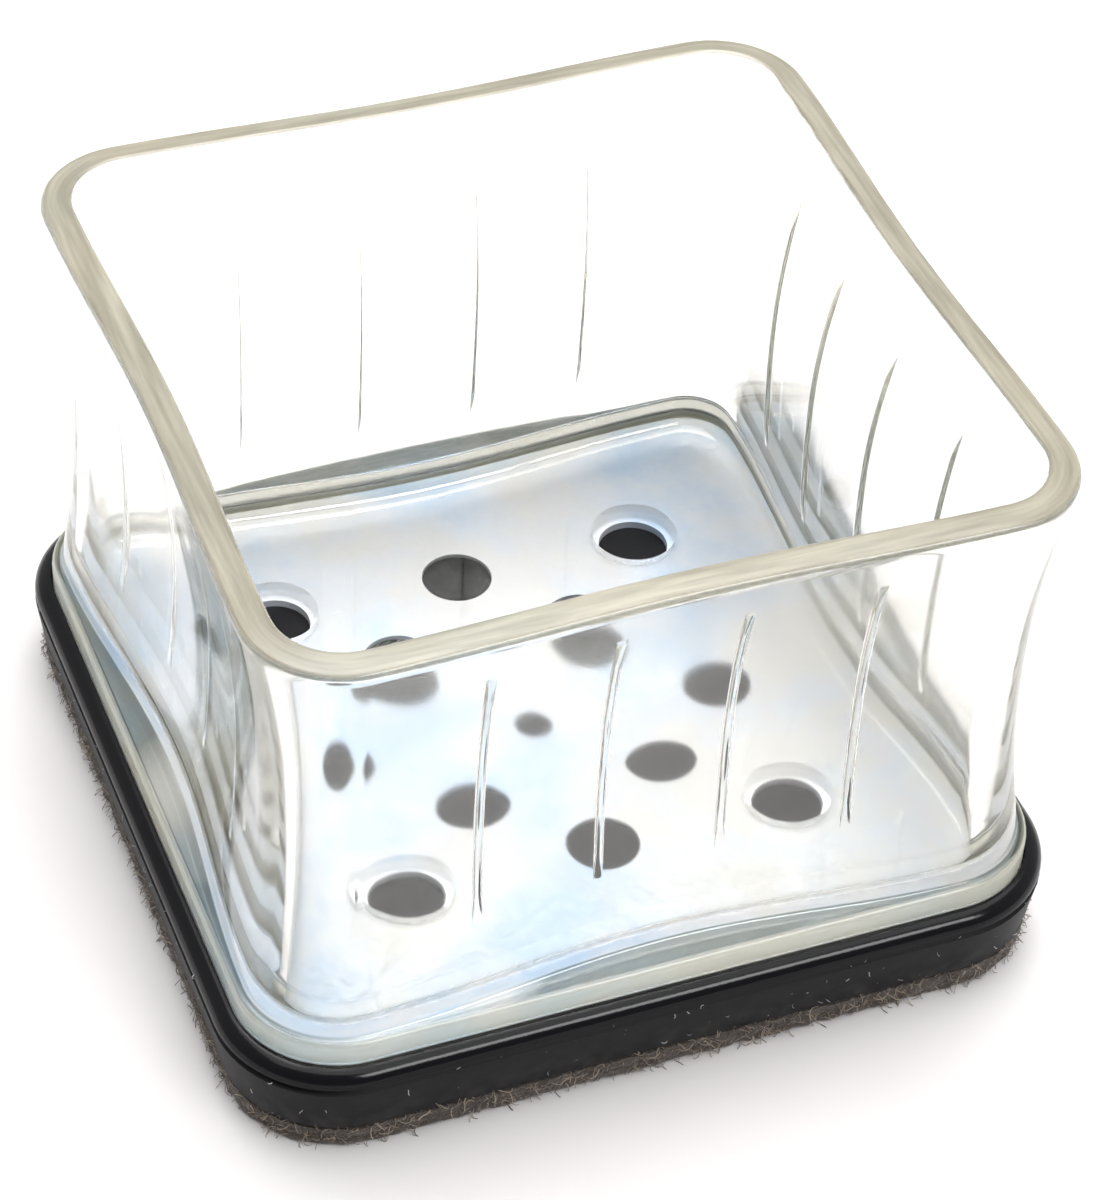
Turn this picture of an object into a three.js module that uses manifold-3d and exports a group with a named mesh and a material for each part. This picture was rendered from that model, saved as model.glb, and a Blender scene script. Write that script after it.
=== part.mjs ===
// Slip-on cap for the foot of a square chair leg, in millimetres, +Z up.
// A clear ribbed sleeve holds a perforated steel plate down in a black tray, and a felt pad is bonded under it.
// The origin is under the middle of the pad, on the floor that the cap stands on.
import * as THREE from 'three';
import { mergeVertices } from 'three/addons/utils/BufferGeometryUtils.js';
import Module from 'manifold-3d';

// The leg, and the ribs that grip it
const LEG_WIDTH = 38.1; // side of the square leg that the cap slips onto
const RIB_SQUEEZE = 0.12; // a free rib's crest stands this far inside the leg's face at the waist
const RIB_HEIGHT = 0.22; // crest above the wall
const RIB_WIDTH = 0.6; // across the root
const RIB_PITCH = 7.5; // along the wall
const RIBS_PER_WALL = 4;
const RIB_RIM_GAP = 4.0; // rim's top to the ribs' upper ends
const RIB_FLOOR_GAP = 5.6; // sleeve's floor to the ribs' lower ends
const RIB_LEAD_IN = 2.2; // length of the ramp at a rib's upper end
const RIB_RUN_OUT = 1.6; // length of the ramp at a rib's lower end
const RIB_BURY = 0.1; // a ramp starts this deep in the wall

// The sleeve: an hourglass whose walls also bow in between its corners
const SOCKET_DEPTH = 28.8; // sleeve's floor to the rim's top
const WAIST_HEIGHT = 14.8; // sleeve's floor to the narrowest level
const WALL = 1.9; // from the waist up
const FOOT_WALL = 2.6; // at the sleeve's floor
const CORNER_RADIUS = 4.2; // outside corner at the waist
const WAIST_BOW = 1.35; // middle of a wall behind its corners at the waist
const RIM_FLARE = 1.5; // rim's corners beyond the waist's
const RIM_BOW = 0.45;
const RIM_ROUND = 0.35; // edges of the rim's flat top
const RIM_DROP = 0.2; // flat top's outer edge below its inner edge, square to the flared wall
const FOOT_FLARE = 1.5; // wall's corners at the floor beyond the waist's
const FOOT_BOW = 1.2;
const FOOT_SWEEP = 0.5; // height of the hollow sweep from the lip up into the wall
const LIP_WIDTH = 0.35; // foot lip beyond the wall's corners at the floor
const LIP_SHOW = 1.4; // height of the lip above the tray
const LIP_ROUND = 0.4; // its upper edge
const FOOT_CHAMFER = 0.3; // its lower edge, in the tray
const FLOOR_FILM = 1.1; // clear floor over the plate
const FLOOR_FILLET = 1.1; // inside, where the floor meets the wall
const WINDOW_DIAMETER = 5.4; // opening in the floor over each corner hole of the plate

// The steel plate and the sleeve's keys that reach through it
const PLATE_THICKNESS = 0.5;
const FOOT_RING = 0.6; // width of the sleeve's foot outside the plate
const PLATE_CLEARANCE = 0.15; // round the plate's edge
const HOLE_PITCH = 12.0;
const HOLE_DIAMETER = 4.4;
const CENTRE_HOLE_DIAMETER = 2.2;
const KEY_CLEARANCE = 0.3; // round each key in its hole

// The tray
const TRAY_FLOOR = 3.45;
const WELL_DEPTH = 1.3; // tray's floor to the top of its bead
const WELL_CLEARANCE = 0.1; // round the sleeve's foot
const BEAD_WIDTH = 1.05; // well's wall to the bead's outermost line
const BEAD_HEIGHT = 0.95; // bead's top down to its outermost line
const GROOVE_DEPTH = 0.35;
const GROOVE_HEIGHT = 0.5;
const SKIRT_TAPER = 0.45; // skirt's foot inside its head
const SKIRT_ROUND = 0.25; // skirt's lower edge

// The felt pad and the film that bonds it
const PAD_THICKNESS = 1.4;
const PAD_MARGIN = 0.05; // skirt's foot to the pad's edge
const PAD_ROUND = 0.3; // pad's lower edge
const ADHESIVE_THICKNESS = 0.15;
const ADHESIVE_MARGIN = 0.4; // pad's edge to the film's edge

// Facets
const SIDE_STEPS = 8;
const CORNER_STEPS = 5;
const WALL_STEPS = 8;
const ARC_STEPS = 3;
const SWEEP_STEPS = 3;
const RIB_STEPS = 6;
const CREST_STEPS = 6;
const HOLE_SIDES = 20;

// Levels, from the floor up
const padTop = PAD_THICKNESS;
const skirtFoot = padTop + ADHESIVE_THICKNESS;
const trayFloor = skirtFoot + TRAY_FLOOR;
const plateTop = trayFloor + PLATE_THICKNESS;
const trayTop = trayFloor + WELL_DEPTH;
const lipTop = trayTop + LIP_SHOW;
const sleeveFloor = plateTop + FLOOR_FILM;
const waist = sleeveFloor + WAIST_HEIGHT;
const rimTop = sleeveFloor + SOCKET_DEPTH;

// Half-widths, from the leg outwards
const ribCrestHalf = LEG_WIDTH / 2 - RIB_SQUEEZE;
const waistHalf = ribCrestHalf + RIB_HEIGHT + WALL + WAIST_BOW;
const cornerCentre = waistHalf - CORNER_RADIUS;
const lipHalf = waistHalf + FOOT_FLARE + LIP_WIDTH;
const pocketHalf = lipHalf - FOOT_RING;
const plateHalf = pocketHalf - PLATE_CLEARANCE;
const wellHalf = lipHalf + WELL_CLEARANCE;
const trayHalf = wellHalf + BEAD_WIDTH;
const skirtFootHalf = trayHalf - SKIRT_TAPER;
const padHalf = skirtFootHalf - PAD_MARGIN;
const adhesiveHalf = padHalf - ADHESIVE_MARGIN;

const UP = new THREE.Vector3(0, 0, 1);
const QUARTER = Math.PI / 2;
const wasm = await Module();
wasm.setup();

// How far a wall has bowed in at a distance along it from its middle.
function bowAt(bow, along) {
  return (bow * (1 + Math.cos((Math.PI * along) / cornerCentre))) / 2;
}

// A point on one of the four sides: along the side, out from the axis, and up.
function onSide(side, along, out, z) {
  return new THREE.Vector3(out, along, z).applyAxisAngle(UP, side * QUARTER);
}

// One level of a round-cornered square with bowed sides, anticlockwise seen from above.
function squareLevel(half, z, bow = 0) {
  const radius = half - cornerCentre;
  const points = [];
  for (let side = 0; side < 4; side += 1) {
    for (let i = 0; i < SIDE_STEPS; i += 1) {
      const along = cornerCentre * ((2 * i) / SIDE_STEPS - 1);
      points.push(onSide(side, along, half - bowAt(bow, along), z));
    }
    for (let i = 0; i < CORNER_STEPS; i += 1) {
      const angle = (QUARTER * i) / CORNER_STEPS;
      const along = cornerCentre + radius * Math.sin(angle);
      points.push(onSide(side, along, cornerCentre + radius * Math.cos(angle), z));
    }
  }
  return points;
}

// A closed solid through levels of equal point counts, with a flat cap on its first and last level.
function loft(levels) {
  const count = levels[0].length;
  const vertices = levels.flat();
  const triangles = [];
  for (let row = 0; row + 1 < levels.length; row += 1) {
    for (let i = 0; i < count; i += 1) {
      const a = row * count + i;
      const b = row * count + ((i + 1) % count);
      triangles.push(a, b, b + count, a, b + count, a + count);
    }
  }
  const lastRow = (levels.length - 1) * count;
  const firstCentre = vertices.push(centreOf(levels[0])) - 1;
  const lastCentre = vertices.push(centreOf(levels.at(-1))) - 1;
  for (let i = 0; i < count; i += 1) {
    const next = (i + 1) % count;
    triangles.push(firstCentre, next, i);
    triangles.push(lastCentre, lastRow + i, lastRow + next);
  }
  return new THREE.BufferGeometry().setFromPoints(vertices).setIndex(triangles);
}

function centreOf(points) {
  const sum = new THREE.Vector3();
  points.forEach((point) => sum.add(point));
  return sum.divideScalar(points.length);
}

// Solids for joining and cutting, and back again
function solidOf(geometry) {
  const bare = geometry.clone();
  bare.deleteAttribute('normal');
  bare.deleteAttribute('uv');
  const merged = mergeVertices(bare);
  const mesh = new wasm.Mesh({
    numProp: 3,
    vertProperties: merged.attributes.position.array,
    triVerts: new Uint32Array(merged.index.array),
  });
  return new wasm.Manifold(mesh);
}

function geometryOf(solid) {
  const mesh = solid.getMesh();
  const geometry = new THREE.BufferGeometry();
  geometry.setAttribute('position', new THREE.BufferAttribute(mesh.vertProperties, 3));
  geometry.setIndex(new THREE.BufferAttribute(mesh.triVerts, 1));
  geometry.computeVertexNormals();
  return geometry;
}

// An upright round bar between two levels.
function bar(diameter, [x, y], bottom, top) {
  const geometry = new THREE.CylinderGeometry(diameter / 2, diameter / 2, top - bottom, HOLE_SIDES);
  geometry.rotateX(QUARTER);
  geometry.translate(x, y, (bottom + top) / 2);
  return solidOf(geometry);
}

// The plate's hole pattern: a three by three grid with one more hole in the middle of each of its four squares.
function gridPoints(places, pitch) {
  return places.flatMap((column) => places.map((row) => [column * pitch, row * pitch]));
}
const cornerHoles = gridPoints([-1, 1], HOLE_PITCH);
const innerHoles = gridPoints([-0.5, 0.5], HOLE_PITCH);
const crossHoles = [-1, 1].flatMap((sign) => [[sign * HOLE_PITCH, 0], [0, sign * HOLE_PITCH]]);
const keyedHoles = [...innerHoles, ...crossHoles];
const centreHole = [0, 0];

// The sleeve wall's outside half-width, bow and thickness at a level: parabolas either way from the waist.
function wallAt(z) {
  const above = z > waist;
  const reach = above ? (z - waist) / (rimTop - waist) : (waist - z) / (waist - sleeveFloor);
  const flare = above ? RIM_FLARE : FOOT_FLARE;
  const endBow = above ? RIM_BOW : FOOT_BOW;
  const endWall = above ? WALL : FOOT_WALL;
  return {
    half: waistHalf + flare * reach ** 2,
    bow: THREE.MathUtils.lerp(WAIST_BOW, endBow, reach ** 2),
    wall: THREE.MathUtils.lerp(WALL, endWall, reach ** 2),
  };
}

function outerLevel(z) {
  const { half, bow } = wallAt(z);
  return squareLevel(half, z, bow);
}

function innerLevel(z) {
  const { half, bow, wall } = wallAt(z);
  return squareLevel(half - wall, z, bow);
}

// Evenly spaced values from one end to the other, both included.
function steps(from, to, count) {
  return Array.from({ length: count + 1 }, (_, i) => THREE.MathUtils.lerp(from, to, i / count));
}

// The foot of the sleeve, from the plate's pocket round the lip to the top of the sweep
function footLevels() {
  const levels = [
    squareLevel(pocketHalf, plateTop),
    squareLevel(pocketHalf, trayFloor),
    squareLevel(lipHalf - FOOT_CHAMFER, trayFloor),
    squareLevel(lipHalf, trayFloor + FOOT_CHAMFER),
  ];
  for (const angle of steps(0, QUARTER, ARC_STEPS)) {
    const half = lipHalf - LIP_ROUND * (1 - Math.cos(angle));
    levels.push(squareLevel(half, lipTop - LIP_ROUND * (1 - Math.sin(angle))));
  }
  const end = wallAt(lipTop + FOOT_SWEEP);
  for (const part of steps(0, 1, SWEEP_STEPS).slice(1)) {
    const inward = 1 - (1 - part) ** 2;
    const half = THREE.MathUtils.lerp(lipHalf - LIP_ROUND, end.half, inward);
    levels.push(squareLevel(half, lipTop + FOOT_SWEEP * part ** 2, end.bow * inward));
  }
  return levels;
}

// The wall's outside, its flat cut rim, and its inside down to the fillet round the floor
function wallLevels() {
  const rimInside = rimTop - RIM_ROUND;
  const rimOutside = rimInside - RIM_DROP;
  const filletTop = sleeveFloor + FLOOR_FILLET;
  const outside = steps(lipTop + FOOT_SWEEP, rimOutside, WALL_STEPS).slice(1, -1);
  const inside = steps(rimInside, filletTop, WALL_STEPS).slice(1);
  const outer = wallAt(rimOutside);
  const inner = wallAt(rimInside);
  const outerEdge = steps(0, QUARTER, ARC_STEPS).map((angle) => {
    const inset = RIM_ROUND * (1 - Math.cos(angle));
    return squareLevel(outer.half - inset, rimOutside + RIM_ROUND * Math.sin(angle), outer.bow);
  });
  const innerEdge = steps(QUARTER, Math.PI, ARC_STEPS).map((angle) => {
    const inset = inner.wall - RIM_ROUND * (1 + Math.cos(angle));
    return squareLevel(inner.half - inset, rimInside + RIM_ROUND * Math.sin(angle), inner.bow);
  });
  const foot = wallAt(filletTop);
  const fillet = steps(0, QUARTER, ARC_STEPS).slice(1).map((angle) => {
    const inset = foot.wall + FLOOR_FILLET * (1 - Math.cos(angle));
    return squareLevel(foot.half - inset, filletTop - FLOOR_FILLET * Math.sin(angle), foot.bow);
  });
  return [
    ...outside.map(outerLevel),
    ...outerEdge,
    ...innerEdge,
    ...inside.map(innerLevel),
    ...fillet,
  ];
}

// One grip rib: a softly rounded crest that follows the wall's inside and ramps into it at both ends.
function rib(side, along) {
  const bottom = sleeveFloor + RIB_FLOOR_GAP;
  const top = rimTop - RIB_RIM_GAP;
  const crest = steps(bottom + RIB_RUN_OUT, top - RIB_LEAD_IN, RIB_STEPS);
  const level = (z, height) => {
    const { half, bow, wall } = wallAt(z);
    const face = half - wall - bowAt(bow, along);
    const root = face + wall / 2;
    const points = [
      onSide(side, along - RIB_WIDTH / 2, root, z),
      onSide(side, along + RIB_WIDTH / 2, root, z),
    ];
    for (const part of steps(0, 1, CREST_STEPS)) {
      const across = along + RIB_WIDTH * (0.5 - part);
      const rise = (height + RIB_BURY) * Math.sin(Math.PI * part) ** 2;
      points.push(onSide(side, across, face + RIB_BURY - rise, z));
    }
    return points;
  };
  const levels = [
    level(bottom, -RIB_BURY / 2),
    ...crest.map((z) => level(z, RIB_HEIGHT)),
    level(top, -RIB_BURY / 2),
  ];
  return solidOf(loft(levels));
}

function clearSleeve() {
  let sleeve = solidOf(loft([...footLevels(), ...wallLevels()]));
  for (let side = 0; side < 4; side += 1) {
    for (let i = 0; i < RIBS_PER_WALL; i += 1) {
      sleeve = sleeve.add(rib(side, RIB_PITCH * (i - (RIBS_PER_WALL - 1) / 2)));
    }
  }
  for (const place of cornerHoles) {
    const window = bar(WINDOW_DIAMETER, place, trayFloor, sleeveFloor + FLOOR_FILM);
    sleeve = sleeve.subtract(window);
  }
  const keyTop = plateTop + FLOOR_FILM / 2;
  for (const place of keyedHoles) {
    sleeve = sleeve.add(bar(HOLE_DIAMETER - 2 * KEY_CLEARANCE, place, trayFloor, keyTop));
  }
  const centreKey = bar(CENTRE_HOLE_DIAMETER - 2 * KEY_CLEARANCE, centreHole, trayFloor, keyTop);
  return geometryOf(sleeve.add(centreKey));
}

function steelPlate() {
  const below = trayFloor - PLATE_THICKNESS;
  const above = plateTop + PLATE_THICKNESS;
  let plate = solidOf(loft([squareLevel(plateHalf, trayFloor), squareLevel(plateHalf, plateTop)]));
  for (const place of [...cornerHoles, ...keyedHoles]) {
    plate = plate.subtract(bar(HOLE_DIAMETER, place, below, above));
  }
  return geometryOf(plate.subtract(bar(CENTRE_HOLE_DIAMETER, centreHole, below, above)));
}

// The tray, from its flat underside round the skirt, groove and bead into the well
function baseTray() {
  const beadLine = trayTop - BEAD_HEIGHT;
  const grooveFoot = beadLine - GROOVE_HEIGHT;
  const bead = steps(0, QUARTER, ARC_STEPS + 1).map((angle) => {
    const half = wellHalf + BEAD_WIDTH * Math.cos(angle);
    return squareLevel(half, beadLine + BEAD_HEIGHT * Math.sin(angle));
  });
  return loft([
    squareLevel(skirtFootHalf - SKIRT_ROUND, skirtFoot),
    squareLevel(skirtFootHalf, skirtFoot + SKIRT_ROUND),
    squareLevel(trayHalf, grooveFoot),
    squareLevel(trayHalf - GROOVE_DEPTH, grooveFoot + GROOVE_HEIGHT / 2),
    ...bead,
    squareLevel(wellHalf, trayFloor),
  ]);
}

function padAdhesive() {
  return loft([squareLevel(adhesiveHalf, padTop), squareLevel(adhesiveHalf, skirtFoot)]);
}

function feltPad() {
  const edge = steps(0, QUARTER, ARC_STEPS).map((angle) => {
    const half = padHalf - PAD_ROUND * (1 - Math.sin(angle));
    return squareLevel(half, PAD_ROUND * (1 - Math.cos(angle)));
  });
  return loft([...edge, squareLevel(padHalf, padTop)]);
}

function piece(name, geometry, color, roughness, metalness = 0, opacity = 1) {
  const transparent = opacity < 1;
  const material = new THREE.MeshStandardMaterial({ color, roughness, metalness, opacity, transparent });
  const mesh = new THREE.Mesh(geometry, material);
  mesh.name = name;
  return mesh;
}

const cap = new THREE.Group();
cap.add(
  piece('clear_sleeve', clearSleeve(), '#e4e6e0', 0.08, 0, 0.35),
  piece('steel_plate', steelPlate(), '#cfd6dc', 0.3, 1),
  piece('base_tray', baseTray(), '#1b1c20', 0.25),
  piece('pad_adhesive', padAdhesive(), '#d8d2bd', 0.6),
  piece('felt_pad', feltPad(), '#35322f', 0.95),
);

export default cap;
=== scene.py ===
"""Dresses a slip-on cap for a square chair leg: clear ribbed sleeve, zinc plate, black tray and felt foot."""
import math
from functools import partial, reduce

import bpy
import numpy as np
from mathutils import Matrix, Vector, noise


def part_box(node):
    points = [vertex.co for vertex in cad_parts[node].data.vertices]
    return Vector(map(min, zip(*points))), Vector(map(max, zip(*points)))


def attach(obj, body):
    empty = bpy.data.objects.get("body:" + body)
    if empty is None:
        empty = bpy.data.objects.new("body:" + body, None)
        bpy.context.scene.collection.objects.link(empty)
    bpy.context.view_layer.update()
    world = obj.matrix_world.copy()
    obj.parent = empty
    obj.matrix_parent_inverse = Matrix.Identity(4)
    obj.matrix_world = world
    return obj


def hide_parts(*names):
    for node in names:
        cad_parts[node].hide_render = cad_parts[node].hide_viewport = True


bl_info = {
    "name": "Chair Leg Cap",
    "version": (1, 0, 0),
    "blender": (4, 5, 0),
    "location": "3D View > Sidebar > Leg Cap",
    "description": "Builds a clear slip-on chair leg cap, piece by piece, round its packed solids",
    "category": "Add Mesh",
}

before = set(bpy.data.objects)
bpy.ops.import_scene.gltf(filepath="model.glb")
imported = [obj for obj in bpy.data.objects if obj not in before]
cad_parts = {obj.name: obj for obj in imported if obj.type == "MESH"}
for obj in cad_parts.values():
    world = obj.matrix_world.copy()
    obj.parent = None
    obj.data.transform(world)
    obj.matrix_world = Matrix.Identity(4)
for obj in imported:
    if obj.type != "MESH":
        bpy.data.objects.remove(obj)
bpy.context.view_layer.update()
BODY = "root"
MM = 0.001
QUARTER = math.pi / 2

# Levels and half-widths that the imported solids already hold
SLEEVE_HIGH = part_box("clear_sleeve")[1]
PLATE_LOW, PLATE_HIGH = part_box("steel_plate")
TRAY_LOW, TRAY_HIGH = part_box("base_tray")
FILM_LOW, FILM_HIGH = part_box("pad_adhesive")
PAD_LOW, PAD_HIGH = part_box("felt_pad")

# Kinds of node that come up often
MATH, RANGE, MIX = "ShaderNodeMath", "ShaderNodeMapRange", "ShaderNodeMix"
VECTOR, SPLIT, COMBINE = "ShaderNodeVectorMath", "ShaderNodeSeparateXYZ", "ShaderNodeCombineXYZ"
COORDINATE, NOISE, BUMP = "ShaderNodeTexCoord", "ShaderNodeTexNoise", "ShaderNodeBump"
BOOLEAN, RANDOM = "GeometryNodeMeshBoolean", "FunctionNodeRandomValue"
# Inputs that share their names with others: a Mix node's two colours, and the ends of a random value's range
A, B = 6, 7
FLOAT_MIN, FLOAT_MAX, INT_MIN, INT_MAX = 2, 3, 4, 5
# Kinds of socket for the values that a Geometry Nodes tree takes
SOCKETS = {int: "NodeSocketInt", float: "NodeSocketFloat", bpy.types.Material: "NodeSocketMaterial"}


# Helpers for settings, nodes and meshes
def linear(code):
    """An sRGB hex colour as linear red, green, blue and full alpha."""
    parts = [int(code[i : i + 2], 16) / 255 for i in (1, 3, 5)]
    flat = [c / 12.92 if c <= 0.04045 else ((c + 0.055) / 1.055) ** 2.4 for c in parts]
    return (*flat, 1.0)


def length(name, about, millimetres):
    """A length that a user can set, given here in millimetres."""
    return bpy.props.FloatProperty(
        name=name, description=about, default=millimetres * MM, min=0.0, precision=5, unit="LENGTH"
    )


def colour(name, about, code):
    """A colour that a user can set, given here as sRGB hex."""
    return bpy.props.FloatVectorProperty(
        name=name, description=about, default=linear(code), size=4, min=0.0, max=1.0, subtype="COLOR"
    )


def count(name, about, whole):
    """A whole number that a user can set."""
    return bpy.props.IntProperty(name=name, description=about, default=whole, min=0)


def number(name, about, value):
    """A plain number that a user can set."""
    return bpy.props.FloatProperty(name=name, description=about, default=value, min=0.0)


def angle(name, about, degrees):
    """An angle that a user can set, given here in degrees."""
    return bpy.props.FloatProperty(
        name=name, description=about, default=math.radians(degrees), subtype="ANGLE"
    )


def fill(node, inputs):
    """Links or sets a node's inputs by name or number; a list puts several links on one input."""
    for key, value in inputs.items():
        socket = node.inputs[key]
        for part in value if isinstance(value, list) else [value]:
            if isinstance(part, bpy.types.Node):
                part = next(output for output in part.outputs if output.enabled)
            if isinstance(part, bpy.types.NodeSocket):
                node.id_data.links.new(part, socket)
            else:
                socket.default_value = part


def add_node(tree, kind, *inputs, **settings):
    """Adds a node with its settings; its inputs come in order, or in a dictionary by name or number."""
    made = tree.nodes.new(kind)
    for key, value in settings.items():
        setattr(made, key, value)
    for place, value in enumerate(inputs):
        fill(made, value if isinstance(value, dict) else {place: value})
    return made


def new_material(name):
    """An empty material, the call that adds its nodes, and its shader."""
    material = bpy.data.materials.new(name)
    material.use_nodes = True
    material.node_tree.nodes.clear()
    node = partial(add_node, material.node_tree)
    shader = node("ShaderNodeBsdfPrincipled")
    node("ShaderNodeOutputMaterial", {"Surface": shader})
    return material, node, shader


def mask(node, *ramps):
    """How far a point lies in every ramp: a value, the place it is measured from, and the ramp's two ends."""
    parts = [
        node(RANGE, value, origin + begins, origin + full)
        for value, origin, (begins, full) in ramps
    ]
    return reduce(lambda one, other: node(MATH, one, other, operation="MULTIPLY"), parts)


def nodes_modifier(piece, title, inputs):
    """A Geometry Nodes modifier with named inputs: the call that adds its nodes, and its inputs by name."""
    tree = bpy.data.node_groups.new(title, "GeometryNodeTree")
    modifier = piece.modifiers.new(title, "NODES")
    for side in ("INPUT", "OUTPUT"):
        tree.interface.new_socket("Geometry", in_out=side, socket_type="NodeSocketGeometry")
    modifier.node_group = tree
    for name, value in inputs.items():
        socket = tree.interface.new_socket(name, in_out="INPUT", socket_type=SOCKETS[type(value)])
        modifier[socket.identifier] = value
    node = partial(add_node, tree)
    return node, node("NodeGroupInput").outputs


def end_tree(node, geometry, material, lowest=None):
    """Ends a Geometry Nodes tree: instances become real, may rest on a level, and take the material."""
    real = node("GeometryNodeRealizeInstances", geometry)
    if lowest is not None:
        # Only the height is held up; the other two limits lie a metre off, past every piece
        limit = node(COMBINE, {"X": -1.0, "Y": -1.0, "Z": lowest})
        raised = node(VECTOR, node("GeometryNodeInputPosition"), limit, operation="MAXIMUM")
        real = node("GeometryNodeSetPosition", real, {"Position": raised})
    painted = node("GeometryNodeSetMaterial", real, {"Material": material})
    node("NodeGroupOutput", painted)


def object_of(name, data):
    """A new object at the origin."""
    piece = bpy.data.objects.new(name, data)
    bpy.context.scene.collection.objects.link(piece)
    return piece


def make_plain(piece):
    """Turns what the modifiers make into the piece's own mesh, and removes them."""
    graph = bpy.context.evaluated_depsgraph_get()
    plain = bpy.data.meshes.new_from_object(piece.evaluated_get(graph))
    piece.modifiers.clear()
    old = piece.data
    piece.data = plain
    plain.name = piece.name
    bpy.data.meshes.remove(old)
    if not plain.polygons:
        raise RuntimeError(f"{piece.name} has no faces")


def shade(piece, degrees):
    """Smooth shading, with edges sharper than the angle kept sharp."""
    piece.data.shade_smooth()
    piece.data.set_sharp_from_angle(angle=math.radians(degrees))


def dress(piece, slot, *nodes):
    """Puts a piece on the body, in place of the CAD nodes. The slot is not used."""
    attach(piece, BODY)
    if nodes:
        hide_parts(*nodes)


# Settings
class SleeveSizes(bpy.types.PropertyGroup):
    """Sizes of the clear sleeve"""

    wall: length("Wall", "Thickness of the wall from the waist up", 1.9)
    foot_wall: length("Foot wall", "Thickness of the wall at the sleeve's floor", 2.6)
    corner_radius: length("Corner radius", "Outside corner at the waist", 4.2)
    waist_height: length("Waist height", "Sleeve's floor to the narrowest level", 14.8)
    waist_bow: length("Waist bow", "Middle of a wall behind its corners at the waist", 1.35)
    rim_flare: length("Rim flare", "Rim's corners beyond the waist's", 1.5)
    rim_bow: length("Rim bow", "Middle of a wall behind its corners at the rim", 0.45)
    rim_round: length("Rim round", "Edges of the rim's flat top", 0.35)
    rim_drop: length("Rim drop", "Flat top's outer edge below its inner edge", 0.2)
    foot_flare: length("Foot flare", "Wall's corners at the floor beyond the waist's", 1.5)
    foot_bow: length("Foot bow", "Middle of a wall behind its corners at the floor", 1.2)
    foot_sweep: length("Foot sweep", "Height of the hollow sweep from the lip into the wall", 0.5)
    foot_chamfer: length("Foot chamfer", "Lower edge of the foot", 0.3)
    lip_width: length("Lip width", "Foot lip beyond the wall's corners at the floor", 0.35)
    lip_show: length("Lip show", "Height of the lip above the tray", 1.4)
    lip_round: length("Lip round", "Upper edge of the lip", 0.4)
    floor_film: length("Floor film", "Clear floor over the plate", 1.1)
    floor_fillet: length("Floor fillet", "Inside, where the floor meets the wall", 1.1)
    window: length("Window", "Diameter of the openings over the plate's corner holes", 5.4)
    bond: length("Bond", "How deep the moulded floor and keys grip the plate's skin", 0.03)
    air: length("Air", "Film of air under the foot ring", 0.03)
    ribs: count("Ribs", "Grip ribs on each wall", 4)
    rib_pitch: length("Rib pitch", "Rib to rib along the wall", 7.5)
    rib_width: length("Rib width", "Across a rib's root", 0.6)
    rib_height: length("Rib height", "Crest above the wall", 0.22)
    rib_rim_gap: length("Rib to rim", "Rim's top to the ribs' upper ends", 4.0)
    rib_floor_gap: length("Rib to floor", "Sleeve's floor to the ribs' lower ends", 5.6)
    rib_lead_in: length("Rib lead-in", "Ramp at a rib's upper end", 2.2)
    rib_run_out: length("Rib run-out", "Ramp at a rib's lower end", 1.6)


class PlateSizes(bpy.types.PropertyGroup):
    """Sizes of the perforated plate"""

    hole_pitch: length("Hole pitch", "Between the holes of the three by three grid", 12.0)
    hole: length("Hole", "Diameter of the holes", 4.4)
    centre_hole: length("Centre hole", "Diameter of the middle hole", 2.2)
    edge_round: length("Edge round", "Rolled edge that the punch leaves", 0.08)


class TraySizes(bpy.types.PropertyGroup):
    """Sizes of the black tray"""

    bead_width: length("Bead width", "Well's wall to the bead's outermost line", 1.05)
    bead_height: length("Bead height", "Bead's top down to its outermost line", 0.95)
    groove_depth: length("Groove depth", "Groove under the bead", 0.35)
    groove_height: length("Groove height", "Groove under the bead", 0.5)
    skirt_taper: length("Skirt taper", "Skirt's foot inside its head", 0.45)
    skirt_round: length("Skirt round", "Skirt's lower edge", 0.25)


class PadSizes(bpy.types.PropertyGroup):
    """Sizes of the felt pad"""

    edge_round: length("Edge round", "Pad's lower edge", 0.3)
    ragged: length("Ragged", "How unevenly the cut edge stands", 0.12)
    lump: length("Lump", "Along one lump of the cut edge", 0.7)


class FuzzSizes(bpy.types.PropertyGroup):
    """Loose fibres round the felt pad"""

    density: number("Density", "Fibres on a square millimetre of the pad's edge", 12.0)
    clump: length("Clump", "From one clump of fibres to the next", 2.5)
    length: length("Length", "Longest fibre", 1.0)
    width: length("Width", "Drawn about three times as thick as felt fibre, so that it shows", 0.06)
    least_lean: angle("Least lean", "Most upright fibre", 70)
    most_lean: angle("Most lean", "Flattest fibre", 92)
    seed: count("Seed", "Fixes how the fibres lie", 4)


class LintSizes(bpy.types.PropertyGroup):
    """Lint on the tray's side"""

    density: number("Density", "Fibres on a square millimetre of the tray's side", 0.25)
    clump: length("Clump", "From one clump of lint to the next", 5.0)
    length: length("Length", "Longest fibre", 0.4)
    width: length("Width", "Across a fibre", 0.05)
    least_lean: angle("Least lean", "Most upright fibre", 78)
    most_lean: angle("Most lean", "Flattest fibre", 90)
    seed: count("Seed", "Fixes how the fibres lie", 11)


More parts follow.
